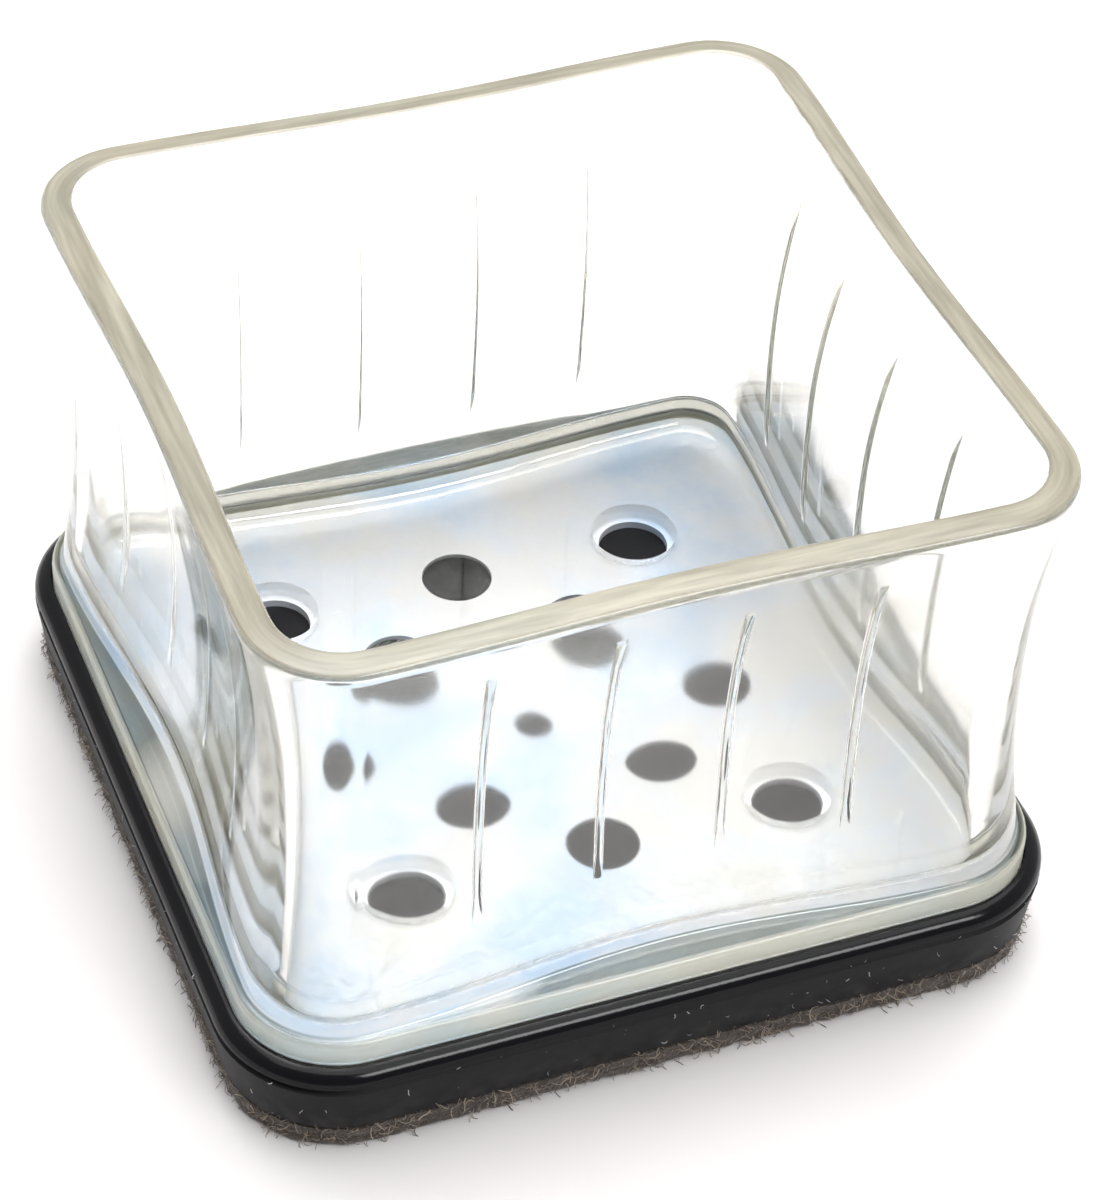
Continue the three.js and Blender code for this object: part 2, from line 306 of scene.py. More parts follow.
class Finishes(bpy.types.PropertyGroup):
    """Colours of the materials"""

    vinyl: colour("Clear vinyl", "Faint tint of the clear PVC", "#FEFEFC")
    vinyl_depth: colour("Vinyl depth", "Colour that light takes on along the clear wall", "#DAD5BE")
    vinyl_rim: colour("Vinyl rim", "Cloudy rim of the clear PVC", "#BDB7A3")
    vinyl_streak: colour("Vinyl streak", "Darker streaks in the cloudy rim", "#98917E")
    vinyl_lip: colour("Vinyl lip", "Cloudy edge of the foot lip", "#C3C3B3")
    # The two ledge colours are painted shade: a dark clear tint in patches on the foot's ledge, and a paler
    # tint between them
    ledge_painted_shade: colour("Vinyl ledge", "Ledge of the foot where it lies on the black tray", "#5F6B69")
    ledge_painted_pale_shade: colour("Vinyl gap", "Ledge of the foot where air lies under it", "#E4E7E1")
    zinc: colour("Zinc", "Plating's own colour", "#EDF2FA")
    zinc_blue: colour("Zinc blue", "Passivation where it is thin", "#D8E9FC")
    zinc_straw: colour("Zinc straw", "Passivation where it is thick", "#F1F1F2")
    black: colour("Black vinyl", "Moulded black PVC", "#0E0E11")
    dust: colour("Dust", "Floor dust on the black skirt", "#3A3836")
    adhesive: colour("Adhesive", "Film under the pad", "#D8D2BD")
    felt: colour("Felt", "Needled felt", "#3F3730")
    fibre_dark: colour("Dark fibre", "Darkest loose fibre", "#4A3F36")
    fibre_pale: colour("Pale fibre", "Palest loose fibre", "#B8AA98")
    lint_dark: colour("Dark lint", "Darkest lint on the tray", "#8C8C90")
    lint_pale: colour("Pale lint", "Palest lint on the tray", "#E8E8EA")
    floor: colour("Floor", "White card that the cap stands on", "#DFDCDC")


class StageSettings(bpy.types.PropertyGroup):
    """Camera and light"""

    azimuth: angle("Azimuth", "Camera's turn from the front", -23.22)
    elevation: angle("Elevation", "Camera above the horizon", 42.2)
    roll: angle("Roll", "Camera's tilt about its own line of sight", 3.37)
    distance: length("Distance", "Camera to the point that it looks at", 232.28)
    target: bpy.props.FloatVectorProperty(
        name="Target",
        description="Point that the camera looks at",
        default=(0.00115, 0.00008, 0.01409),
        subtype="XYZ",
        unit="LENGTH",
    )
    lens: bpy.props.FloatProperty(
        name="Lens", description="Focal length in millimetres", default=116.97, unit="CAMERA"
    )
    back_light: number("Back light", "Strength of the studio behind the cap", 0.88)
    front_light: number("Front light", "Strength of the studio on the camera's side", 0.28)


# Forms that several pieces share
def corner_centre(sleeve):
    """Centre of every piece's corner arcs, out from the axis each way."""
    return SLEEVE_HIGH.x - sleeve.lip_width - sleeve.foot_flare - sleeve.corner_radius


def bow_at(bow, along, reach):
    """How far a wall has bowed in at a distance along it from its middle."""
    return bow * (1 + np.cos(math.pi * along / reach)) / 2


class Outline:
    """Where the points of every level lie round a square with round corners."""

    def __init__(self, sleeve, side_steps, corner_steps, extra=()):
        self.reach = corner_centre(sleeve)
        even = np.linspace(-self.reach, self.reach, side_steps + 1)
        self.along = np.unique(np.concatenate([even, extra]).round(9))[:-1]
        self.angles = np.linspace(0, QUARTER, corner_steps + 1)[:-1]

    def level(self, half, z, bow=0.0):
        """One level, anticlockwise seen from above."""
        radius = half - self.reach
        side = half - bow_at(bow, self.along, self.reach)
        along = np.concatenate([self.along, self.reach + radius * np.sin(self.angles)])
        out = np.concatenate([side, self.reach + radius * np.cos(self.angles)])
        height = np.full(len(along), z)
        sides = [(out, along), (-along, out), (-out, -along), (along, -out)]
        return np.concatenate([np.stack([x, y, height], 1) for x, y in sides])

    def arc(self, centre, radii, start, end, steps, bow=0.0):
        """Levels along an arc of the profile: the half-width and height of its centre, and its radii."""
        turns = np.linspace(start, end, steps + 1)
        (half, z), (out, up) = centre, radii
        return [self.level(half + out * math.cos(turn), z + up * math.sin(turn), bow) for turn in turns]


def loft(name, levels, capped=True):
    """A mesh through levels of equal point counts, closed by a flat cap on its first and last level."""
    size = len(levels[0])
    faces = []
    for row in range(len(levels) - 1):
        start = row * size
        for i in range(size):
            j = (i + 1) % size
            faces.append((start + i, start + j, start + size + j, start + size + i))
    last = (len(levels) - 1) * size
    if capped:
        faces.append(tuple(reversed(range(size))))
        faces.append(tuple(range(last, last + size)))
    mesh = bpy.data.meshes.new(name)
    mesh.from_pydata(np.concatenate(levels).tolist(), [], faces)
    mesh.validate()
    return object_of(name, mesh)


# Clear sleeve, with the number of levels up its walls and its sweep, and of points across a rib
OUTER_LEVELS, INNER_LEVELS, SWEEP_LEVELS, RIB_POINTS = 47, 91, 11, 15


def wall_at(z, sleeve):
    """The wall's outside half-width, bow and thickness at a level: parabolas either way from the waist."""
    floor, rim = PLATE_HIGH.z + sleeve.floor_film, SLEEVE_HIGH.z
    waist = floor + sleeve.waist_height
    waist_half = corner_centre(sleeve) + sleeve.corner_radius
    above = z > waist
    reach = (z - waist) / (rim - waist) if above else (waist - z) / (waist - floor)
    flare = sleeve.rim_flare if above else sleeve.foot_flare
    end_bow = sleeve.rim_bow if above else sleeve.foot_bow
    end_wall = sleeve.wall if above else sleeve.foot_wall
    bow = sleeve.waist_bow + (end_bow - sleeve.waist_bow) * reach**2
    return waist_half + flare * reach**2, bow, sleeve.wall + (end_wall - sleeve.wall) * reach**2


def sleeve_outline(sleeve):
    """The sleeve's outline, with close points across each rib."""
    centres = sleeve.rib_pitch * (np.arange(sleeve.ribs) - (sleeve.ribs - 1) / 2)
    # A last pair of points, just past the root, keeps the wall beside a rib flat
    shares = np.append(np.sin(np.linspace(-QUARTER, QUARTER, RIB_POINTS)), (-1.06, 1.06))
    across = (centres[:, None] + sleeve.rib_width / 2 * shares).ravel()
    return Outline(sleeve, side_steps=32, corner_steps=12, extra=across)


def foot_levels(sleeve, outline):
    """From the pocket over the plate, round the foot and the lip, to the top of the sweep."""
    tray_floor, plate_top = PLATE_LOW.z, PLATE_HIGH.z
    lip_half, lip_top = SLEEVE_HIGH.x, TRAY_HIGH.z + sleeve.lip_show
    pocket_half, edge = PLATE_HIGH.x - sleeve.bond, sleeve.lip_round
    levels = [
        outline.level(pocket_half, plate_top - sleeve.bond),
        outline.level(pocket_half, tray_floor + sleeve.air),
        outline.level(lip_half - sleeve.foot_chamfer, tray_floor + sleeve.air),
        outline.level(lip_half, tray_floor + sleeve.foot_chamfer),
        *outline.arc((lip_half - edge, lip_top - edge), (edge, edge), 0, QUARTER, steps=8),
    ]
    end_half, end_bow, _ = wall_at(lip_top + sleeve.foot_sweep, sleeve)
    for part in np.linspace(0, 1, SWEEP_LEVELS)[1:]:
        inward = 1 - (1 - part) ** 2
        half = lip_half - edge + (end_half - lip_half + edge) * inward
        levels.append(outline.level(half, lip_top + sleeve.foot_sweep * part**2, end_bow * inward))
    return levels


def rim_levels(sleeve, outline):
    """Over the rim: a round edge, a flat top that falls outward, and a round edge."""
    edge = sleeve.rim_round
    inside = SLEEVE_HIGH.z - edge
    outside = inside - sleeve.rim_drop
    half, bow, _ = wall_at(outside, sleeve)
    levels = outline.arc((half - edge, outside), (edge, edge), 0, QUARTER, 8, bow)
    half, bow, wall = wall_at(inside, sleeve)
    return levels + outline.arc((half - wall + edge, inside), (edge, edge), QUARTER, math.pi, 8, bow)


def sleeve_loft(sleeve):
    """The sleeve without its ribs, with what the ribs need stored on its inner wall."""
    outline = sleeve_outline(sleeve)
    sweep_top = TRAY_HIGH.z + sleeve.lip_show + sleeve.foot_sweep
    rim_inside = SLEEVE_HIGH.z - sleeve.rim_round
    levels = foot_levels(sleeve, outline)
    for z in np.linspace(sweep_top, rim_inside - sleeve.rim_drop, OUTER_LEVELS)[1:-1]:
        half, bow, _ = wall_at(z, sleeve)
        levels.append(outline.level(half, z, bow))
    levels += rim_levels(sleeve, outline)
    fillet = sleeve.floor_fillet
    fillet_top = PLATE_HIGH.z + sleeve.floor_film + fillet
    first_inner = len(levels)
    for z in np.linspace(rim_inside, fillet_top, INNER_LEVELS)[1:]:
        half, bow, wall = wall_at(z, sleeve)
        levels.append(outline.level(half - wall, z, bow))
    last_inner = len(levels)
    fillet_centre = (half - wall - fillet, fillet_top)
    levels += outline.arc(fillet_centre, (fillet, fillet), 0, -QUARTER, 8, bow)[1:]

    piece = loft("clear_sleeve_moulding", levels)
    # Along is the distance from the middle of a wall, and lies past every rib on the corners
    side = np.concatenate([outline.along, np.full(len(outline.angles), outline.reach * 2)])
    along = np.tile(np.tile(side, 4), len(levels))
    ways = np.array([(-1, 0, 0), (0, -1, 0), (1, 0, 0), (0, 1, 0)], float)
    rows = np.zeros(len(levels))
    rows[first_inner:last_inner] = 1
    inward = (rows[:, None, None] * np.repeat(ways, len(side), axis=0)).ravel()
    made = piece.data.attributes.new
    made("along", "FLOAT", "POINT").data.foreach_set("value", along.astype(np.float32))
    made("inward", "FLOAT_VECTOR", "POINT").data.foreach_set("vector", inward.astype(np.float32))
    return piece


# The plate's hole patterns: the side of a square in pitches, its turn, and the holes along a side
CORNERS = ((2.0, 0.0, 2),)
KEYED = ((1.0, 0.0, 2), (math.sqrt(2), QUARTER / 2, 2))
CENTRE = ((0.0, 0.0, 1),)
BAR_SIDES = 64


def bars(node, patterns, pitch, diameter, low, high):
    """Upright round bars on square patterns, between two levels, as one geometry for joining or cutting."""
    radius = node(MATH, diameter, 2.0, operation="DIVIDE")
    depth = node(MATH, high, low, operation="SUBTRACT")
    total = node(MATH, high, low, operation="ADD")
    middle = node(MATH, total, 2.0, operation="DIVIDE")
    up = node(COMBINE, {"Z": middle})
    bar = node("GeometryNodeMeshCylinder", {"Vertices": BAR_SIDES, "Radius": radius, "Depth": depth})
    placed = []
    for side, turn, along in patterns:
        size = node(MATH, pitch, side, operation="MULTIPLY")
        grid = node("GeometryNodeMeshGrid", size, size, along, along)
        spots = node("GeometryNodeTransform", grid, {"Translation": up, "Rotation": (0.0, 0.0, turn)})
        placed.append(node("GeometryNodeInstanceOnPoints", spots, {"Instance": bar}))
    return node("GeometryNodeRealizeInstances", node("GeometryNodeJoinGeometry", placed))


def raise_ribs(node, group):
    """Raises the grip ribs from the inner wall: half-round beads with a ramp at each end."""
    along = node("GeometryNodeInputNamedAttribute", {"Name": "along"}, data_type="FLOAT")
    inward = node("GeometryNodeInputNamedAttribute", {"Name": "inward"}, data_type="FLOAT_VECTOR")
    # Which rib a point is nearest, and how far it lies from that rib's middle in rib widths
    pitches = node(MATH, along, group["Rib Pitch"], operation="DIVIDE")
    middle = node(MATH, group["Ribs"], 2.0, operation="DIVIDE")
    place = node(MATH, pitches, middle, operation="ADD")
    part = node(MATH, place, operation="FRACT")
    offset = node(MATH, part, 0.5, operation="SUBTRACT")
    shares = node(MATH, group["Rib Pitch"], group["Rib Width"], operation="DIVIDE")
    away = node(MATH, offset, shares, operation="MULTIPLY")
    # The crest is half an ellipse, only where a rib belongs
    wide = node(MATH, away, 2.0, operation="MULTIPLY")
    kept = node("ShaderNodeClamp", wide, -1.0, 1.0)
    square = node(MATH, kept, kept, operation="MULTIPLY")
    rest = node(MATH, 1.0, square, operation="SUBTRACT", use_clamp=True)
    crest = node(MATH, rest, operation="SQRT")
    after = node(MATH, place, 0.0, operation="GREATER_THAN")
    before = node(MATH, place, group["Ribs"], operation="LESS_THAN")
    inside = node(MATH, after, before, operation="MULTIPLY")
    # The ramps at the two ends
    level = node(SPLIT, node("GeometryNodeInputPosition")).outputs["Z"]
    bottom, top = group["Rib Bottom"], group["Rib Top"]
    foot_end = node(MATH, bottom, group["Run-out"], operation="ADD")
    head_start = node(MATH, top, group["Lead-in"], operation="SUBTRACT")
    foot = node(RANGE, level, bottom, foot_end, 0.0, 1.0)
    head = node(RANGE, level, head_start, top, 1.0, 0.0)
    ramps = node(MATH, foot, head, operation="MULTIPLY")
    shape = node(MATH, crest, inside, operation="MULTIPLY")
    ramped = node(MATH, shape, ramps, operation="MULTIPLY")
    height = node(MATH, ramped, group["Rib Height"], operation="MULTIPLY")
    move = node(VECTOR, inward, {"Scale": height}, operation="SCALE")
    return node("GeometryNodeSetPosition", group["Geometry"], {"Offset": move})


def clear_sleeve(settings):
    """The clear sleeve: lofted wall, ribs, windows over the corner holes and keys into the others."""
    sleeve, plate = settings.sleeve, settings.plate
    piece = sleeve_loft(sleeve)
    floor, lip_top = PLATE_HIGH.z + sleeve.floor_film, TRAY_HIGH.z + sleeve.lip_show
    inputs = {
        "Ribs": sleeve.ribs,
        "Rib Pitch": sleeve.rib_pitch,
        "Rib Width": sleeve.rib_width,
        "Rib Height": sleeve.rib_height,
        "Rib Bottom": floor + sleeve.rib_floor_gap,
        "Rib Top": SLEEVE_HIGH.z - sleeve.rib_rim_gap,
        "Lead-in": sleeve.rib_lead_in,
        "Run-out": sleeve.rib_run_out,
        "Hole Pitch": plate.hole_pitch,
        "Window": sleeve.window,
        "Window Foot": PLATE_LOW.z,
        "Window Head": floor + sleeve.floor_film,
        "Key": plate.hole + 2 * sleeve.bond,
        "Centre Key": plate.centre_hole + 2 * sleeve.bond,
        "Key Foot": PLATE_LOW.z - sleeve.bond,
        "Key Head": PLATE_HIGH.z + sleeve.floor_film / 2,
        "Material": clear_vinyl(settings.finishes, corner_centre(sleeve), lip_top),
    }
    node, group = nodes_modifier(piece, "Grip ribs, windows and keys", inputs)
    ribbed = raise_ribs(node, group)
    pitch, foot, head = group["Hole Pitch"], group["Key Foot"], group["Key Head"]
    windows = bars(node, CORNERS, pitch, group["Window"], group["Window Foot"], group["Window Head"])
    keys = bars(node, KEYED, pitch, group["Key"], foot, head)
    centre = bars(node, CENTRE, pitch, group["Centre Key"], foot, head)
    cut = node(BOOLEAN, ribbed, windows, operation="DIFFERENCE", solver="MANIFOLD")
    keyed_floor = node(BOOLEAN, {"Mesh 2": [cut, keys, centre]}, operation="UNION", solver="MANIFOLD")
    end_tree(node, keyed_floor, group["Material"])
    make_plain(piece)
    shade(piece, degrees=38)
    dress(piece, "clear_vinyl", "clear_sleeve")


# Marks on the clear vinyl: where each begins and where it is full, from the place it is measured from
RIM_DEPTH, RIM_TILT = (-1.2 * MM, -0.8 * MM), (0.4, 0.85)
LIP_WIDTH, LIP_HEAD, LIP_FOOT = (-0.4 * MM, -0.15 * MM), (0.2 * MM, 0.0), (-0.1 * MM, 0.1 * MM)
BOND_WIDTH, BOND_HEAD = (-0.9 * MM, -0.8 * MM), (0.0, -0.1 * MM)
LEDGE_WIDTH, LEDGE_TILT, LEDGE_HEAD = (-2.2 * MM, -1.9 * MM), (0.3, 0.6), (0.9 * MM, 0.6 * MM)
# Which of the noise's patterns the patches of painted shade on the ledge follow
LEDGE_SHADE_PATTERN = 13.6
# How rough the vinyl is where it is clear and where it is cloudy, and the light that its cloudy places lose
GLASSY, CLOUDY = 0.06, 0.3
RIM_LOSS, LIP_LOSS, BOND_LOSS = 0.45, 0.35, 0.7
PVC_IOR = 1.53


def clear_vinyl(finishes, reach, lip_top):
    """Plasticised PVC, injection moulded and clear: glassy, a little wavy, warm where light runs along it."""
    material, node, shader = new_material("Clear PVC, injection moulded")
    place = node(COORDINATE).outputs["Object"]
    spot = node(SPLIT, place).outputs
    level = spot["Z"]
    upward = node(SPLIT, node("ShaderNodeNewGeometry").outputs["Normal"]).outputs["Z"]
    # How far out a point lies from the corner arcs' centres, which the lip keeps all round
    size = node(VECTOR, place, operation="ABSOLUTE")
    past = node(VECTOR, size, (reach, reach, 1.0), operation="SUBTRACT")
    kept = node(VECTOR, past, (0.0, 0.0, 0.0), operation="MAXIMUM")
    out = node(VECTOR, kept, operation="LENGTH")
    rim_top, tray_top, edge = SLEEVE_HIGH.z, TRAY_HIGH.z, SLEEVE_HIGH.x - reach
    # The cut rim and the lip are matt and cloudy, and milky cement bonds the foot into the tray's well
    rim = mask(node, (level, rim_top, RIM_DEPTH), (upward, 0.0, RIM_TILT))
    lip = mask(node, (out, edge, LIP_WIDTH), (level, lip_top, LIP_HEAD), (level, tray_top, LIP_FOOT))
    bond = mask(node, (out, edge, BOND_WIDTH), (level, tray_top, BOND_HEAD))
    foot = node(MATH, lip, bond, operation="MAXIMUM")
    cloud = node(MATH, rim, foot, operation="MAXIMUM")
    matt = node(RANGE, cloud, {"To Min": GLASSY, "To Max": CLOUDY})
    rim_loss = node(RANGE, rim, {"To Max": RIM_LOSS})
    lip_loss = node(RANGE, lip, {"To Max": LIP_LOSS})
    bond_loss = node(RANGE, bond, {"To Max": BOND_LOSS})
    foot_loss = node(MATH, lip_loss, bond_loss, operation="MAXIMUM")
    lost = node(MATH, rim_loss, foot_loss, operation="MAXIMUM")
    clear = node(MATH, 1.0, lost, operation="SUBTRACT")
    # Streaks of the cut, 0.4 mm wide and 6 mm long, run along the rim
    cut_place = node(COMBINE, out, spot["X"], spot["Y"])
    stretch = (1 / (0.4 * MM), 1 / (6 * MM), 1 / (6 * MM))
    drawn = node(VECTOR, cut_place, stretch, operation="MULTIPLY")
    streaks = node(NOISE, drawn, {"Scale": 1.0, "Detail": 4.0})
    streak = node(RANGE, streaks, 0.35, 0.65)
    cut = node(MIX, streak, {A: finishes.vinyl_streak, B: finishes.vinyl_rim}, data_type="RGBA")
    # The ledge between the lip and the wall's foot carries painted shade: a dark clear tint in patches of 16
    # mm,
    # # with a paler tint between them
    ledge = mask(node, (out, edge, LEDGE_WIDTH), (upward, 0.0, LEDGE_TILT), (level, lip_top, LEDGE_HEAD))
    patches = {"Scale": 1 / (16 * MM), "Detail": 1.0}
    ledge_shade_noise = node(NOISE, place, LEDGE_SHADE_PATTERN, patches, noise_dimensions="4D")
    shaded_share = node(RANGE, ledge_shade_noise, 0.4, 0.52)
    ledge_shade_tint = node(MIX, shaded_share, {A: finishes.ledge_painted_pale_shade, B: finishes.ledge_painted_shade}, data_type="RGBA")
    deep = node(MIX, ledge, {A: finishes.vinyl, B: ledge_shade_tint}, data_type="RGBA")
    edged = node(MIX, foot, {A: deep, B: finishes.vinyl_lip}, data_type="RGBA")
    tint = node(MIX, rim, {A: edged, B: cut}, data_type="RGBA")
    # Slow ripples, 6 mm from crest to crest, from the flow of the melt
    ripple = node(NOISE, place, {"Scale": 1 / (6 * MM), "Detail": 1.0})
    bump = node(BUMP, {"Height": ripple, "Strength": 0.02, "Distance": 0.4 * MM})
    fill(shader, {"Base Color": tint, "Roughness": matt, "IOR": PVC_IOR})
    fill(shader, {"Transmission Weight": clear, "Normal": bump})
    depth = node("ShaderNodeVolumeAbsorption", {"Color": finishes.vinyl_depth, "Density": 32.0})
    fill(material.node_tree.nodes["Material Output"], {"Volume": depth})
    return material


# Steel plate
def steel_plate(settings):
    """The perforated plate, punched and zinc plated."""
    plate = settings.plate
    outline = Outline(settings.sleeve, side_steps=12, corner_steps=12)
    half = PLATE_HIGH.x
    low, high = PLATE_LOW.z, PLATE_HIGH.z
    rolled = plate.edge_round
    rolled_edge = outline.arc((half - rolled, high - rolled), (rolled, rolled), 0, QUARTER, steps=4)
    piece = loft("zinc_plate", [outline.level(half, low), *rolled_edge])
    thickness = high - low
    inputs = {
        "Hole Pitch": plate.hole_pitch,
        "Hole": plate.hole,
        "Centre Hole": plate.centre_hole,
        "Punch Foot": low - thickness,
        "Punch Head": high + thickness,
        "Material": zinc_plating(settings.finishes),
    }
    node, group = nodes_modifier(piece, "Punched holes", inputs)
    pitch, foot, head = group["Hole Pitch"], group["Punch Foot"], group["Punch Head"]
    holes = bars(node, CORNERS + KEYED, pitch, group["Hole"], foot, head)
    centre = bars(node, CENTRE, pitch, group["Centre Hole"], foot, head)
    tools = [holes, centre]
    punched = node(BOOLEAN, group["Geometry"], tools, operation="DIFFERENCE", solver="MANIFOLD")
    end_tree(node, punched, group["Material"])
    make_plain(piece)
    shade(piece, degrees=30)
    dress(piece, "zinc_steel", "steel_plate")


def zinc_plating(finishes):
    """Zinc plating with a clear passivation: bright and milky, with pale blue and straw patches."""
    material, node, shader = new_material("Zinc plated steel, clear passivated")
    place = node(COORDINATE).outputs["Object"]
    # Patches of the passivation, 9 mm
    patches = node(NOISE, place, {"Scale": 1 / (9 * MM), "Detail": 3.0})
    thick = node(RANGE, patches, 0.36, 0.5)
    thicker = node(RANGE, patches, 0.5, 0.62)
    pale = node(MIX, thick, {A: finishes.zinc_blue, B: finishes.zinc}, data_type="RGBA")
    tint = node(MIX, thicker, {A: pale, B: finishes.zinc_straw}, data_type="RGBA")
    # Spangle of the plating, 0.4 mm
    grain = node(NOISE, place, {"Scale": 1 / (0.4 * MM), "Detail": 2.0})
    rough = node(RANGE, grain, 0.3, 0.7, 0.58, 0.7)
    bump = node(BUMP, {"Height": grain, "Strength": 0.12, "Distance": 0.05 * MM})
    fill(shader, {"Base Color": tint, "Metallic": 1.0, "Roughness": rough, "Normal": bump})
    return material


# Black tray, with the number of levels up its skirt and its groove
SKIRT_LEVELS, GROOVE_LEVELS = 7, 9


def base_tray(settings):
    """The black tray, from its flat underside round the skirt, groove and bead into the well."""
    tray = settings.tray
    outline = Outline(settings.sleeve, side_steps=40, corner_steps=16)
    half, foot, top = TRAY_HIGH.x, TRAY_LOW.z, TRAY_HIGH.z
    foot_half, well_half = half - tray.skirt_taper, half - tray.bead_width
    bead_line = top - tray.bead_height
    groove_foot = bead_line - tray.groove_height
    edge = tray.skirt_round
    levels = outline.arc((foot_half - edge, foot + edge), (edge, edge), -QUARTER, 0, steps=5)
    for part in np.linspace(0, 1, SKIRT_LEVELS)[1:]:
        z = foot + edge + (groove_foot - foot - edge) * part
        levels.append(outline.level(foot_half + (half - foot_half) * part, z))
    for part in np.linspace(0, 1, GROOVE_LEVELS)[1:-1]:
        hollow = tray.groove_depth * math.sin(math.pi * part)
        levels.append(outline.level(half - hollow, groove_foot + tray.groove_height * part))
    levels += outline.arc((well_half, bead_line), (tray.bead_width, tray.bead_height), 0, QUARTER, steps=12)
    levels.append(outline.level(well_half, PLATE_LOW.z))
    piece = loft("black_tray", levels)
    piece.data.materials.append(black_vinyl(settings.finishes, groove_foot, bead_line))
    shade(piece, degrees=38)
    dress(piece, "black_vinyl", "base_tray")


def black_vinyl(finishes, groove_foot, bead_line):
    """Black PVC, moulded: glossy on the bead, satin on the textured skirt below it."""
    material, node, shader = new_material("Black PVC, moulded")
    place = node(COORDINATE).outputs["Object"]
    level = node(SPLIT, place).outputs["Z"]
    # The gloss starts in the groove under the bead
    groove = (groove_foot + bead_line) / 2
    gloss = node(RANGE, level, groove, bead_line, 0.5, 0.14)
    # Texture of the mould, drawn coarser than the real 0.05 mm so that it shows
    grain = node(NOISE, place, {"Scale": 1 / (0.2 * MM), "Detail": 2.0})
    bump = node(BUMP, {"Height": grain, "Strength": 0.1, "Distance": 0.05 * MM})
    # Floor dust in patches of 1.2 mm, thicker toward the skirt's foot and gone just below the groove
    drift = node(NOISE, place, {"Scale": 1 / (1.2 * MM), "Detail": 5.0})
    patch = node(RANGE, drift, 0.4, 0.75)
    lower = node(RANGE, level, TRAY_LOW.z, groove_foot - 0.25 * MM, 0.8, 0.0)
    dust = node(MATH, patch, lower, operation="MULTIPLY")
    tint = node(MIX, dust, {A: finishes.black, B: finishes.dust}, data_type="RGBA")
    fill(shader, {"Base Color": tint, "Roughness": gloss, "Normal": bump})
    fill(shader, {"IOR": PVC_IOR, "Specular IOR Level": 0.15})
    return material


# Adhesive film
def pad_adhesive(settings):
    """The film that bonds the pad under the tray."""
    outline = Outline(settings.sleeve, side_steps=12, corner_steps=8)
    half = FILM_HIGH.x
    piece = loft("adhesive_film", [outline.level(half, FILM_LOW.z), outline.level(half, FILM_HIGH.z)])
    piece.data.materials.append(acrylic_adhesive(settings.finishes))
    shade(piece, degrees=30)
    dress(piece, "adhesive", "pad_adhesive")


def acrylic_adhesive(finishes):
    """Acrylic transfer adhesive: straw coloured and waxy, with fine bubbles."""
    material, node, shader = new_material("Acrylic adhesive film")
    place = node(COORDINATE).outputs["Object"]
    # Bubbles of 0.5 mm
    bubbles = node("ShaderNodeTexVoronoi", {"Vector": place, "Scale": 1 / (0.5 * MM)})
    rough = node(RANGE, bubbles, 0.0, 0.6, 0.4, 0.6)
    bump = node(BUMP, {"Height": bubbles, "Strength": 0.2, "Distance": 0.02 * MM})
    fill(shader, {"Base Color": finishes.adhesive, "Roughness": rough, "IOR": 1.47, "Normal": bump})
    return material


# Felt pad, with the number of levels up its cut edge, and the roughness, spread and octaves of its lumps
EDGE_LEVELS, LUMPS = 13, (0.6, 2.0, 4)


def felt_pad(settings):
    """The felt foot: a pad with a ragged cut edge, flat where it stands and where it is bonded."""
    pad = settings.pad
    outline = Outline(settings.sleeve, side_steps=120, corner_steps=18)
    half, foot, top = PAD_HIGH.x, PAD_LOW.z, PAD_HIGH.z
    edge = pad.edge_round
    inner = half - 2 * edge
    round_edge = outline.arc((half - edge, foot + edge), (edge, edge), -QUARTER, 0, steps=4)
    levels = [outline.level(inner, foot), *round_edge]
    for z in np.linspace(foot + edge, top, EDGE_LEVELS)[1:]:
        levels.append(outline.level(half, z))
    levels.append(outline.level(inner, top))
    for ring in levels[1:-1]:
        for point in ring:
            lump = noise.fractal(Vector(point) / pad.lump, *LUMPS)
            point[:2] *= 1 + pad.ragged * (lump - 0.5) / half
    piece = loft("felt_foot", levels)
    piece.data.materials.append(needled_felt(settings.finishes))
    shade(piece, degrees=60)
    dress(piece, "felt", "felt_pad")


def needled_felt(finishes):
    """Needled felt: matted fibres that scatter light, with paler ones lying on top."""
    material, node, shader = new_material("Needled felt")
    place = node(COORDINATE).outputs["Object"]
    # Tufts of matted fibre, drawn at 0.35 mm, coarser than single fibres, so that they show
    matted = node(NOISE, place, {"Scale": 1 / (0.35 * MM), "Detail": 6.0, "Distortion": 1.5})
    raised = node(RANGE, matted, 0.35, 0.6)
    highest = node(RANGE, matted, 0.6, 0.8)
    dark = node(MIX, raised, {A: finishes.felt, B: finishes.fibre_dark}, data_type="RGBA")
    tint = node(MIX, highest, {A: dark, B: finishes.fibre_pale}, data_type="RGBA")
    bump = node(BUMP, {"Height": matted, "Strength": 0.9, "Distance": 0.2 * MM})
    fill(shader, {"Base Color": tint, "Roughness": 0.95, "Normal": bump})
    fill(shader, {"Sheen Weight": 0.3, "Sheen Roughness": 0.5})
    return material


# Loose fibres
# Curls of one unit of length, each as a first handle, a second handle and a tip
CURLS = (
    ((0.25, 0.10, 0.30), (-0.20, 0.25, 0.65), (0.15, 0.30, 0.90)),
    ((-0.30, 0.05, 0.25), (-0.10, -0.40, 0.50), (0.35, -0.25, 0.70)),
    ((0.10, -0.25, 0.40), (0.45, 0.10, 0.70), (0.60, 0.45, 0.60)),
    ((0.05, 0.30, 0.20), (-0.45, 0.35, 0.45), (-0.55, -0.10, 0.75)),
)
# Fibres between clumps and in them, as a share of the density, and the shortest as a share of the longest
SPARSE, THICK, SHORTEST = 0.2, 1.8, 0.3
# Steps along a strand, and its sides
STRAND_STEPS, STRAND_SIDES = 6, 3


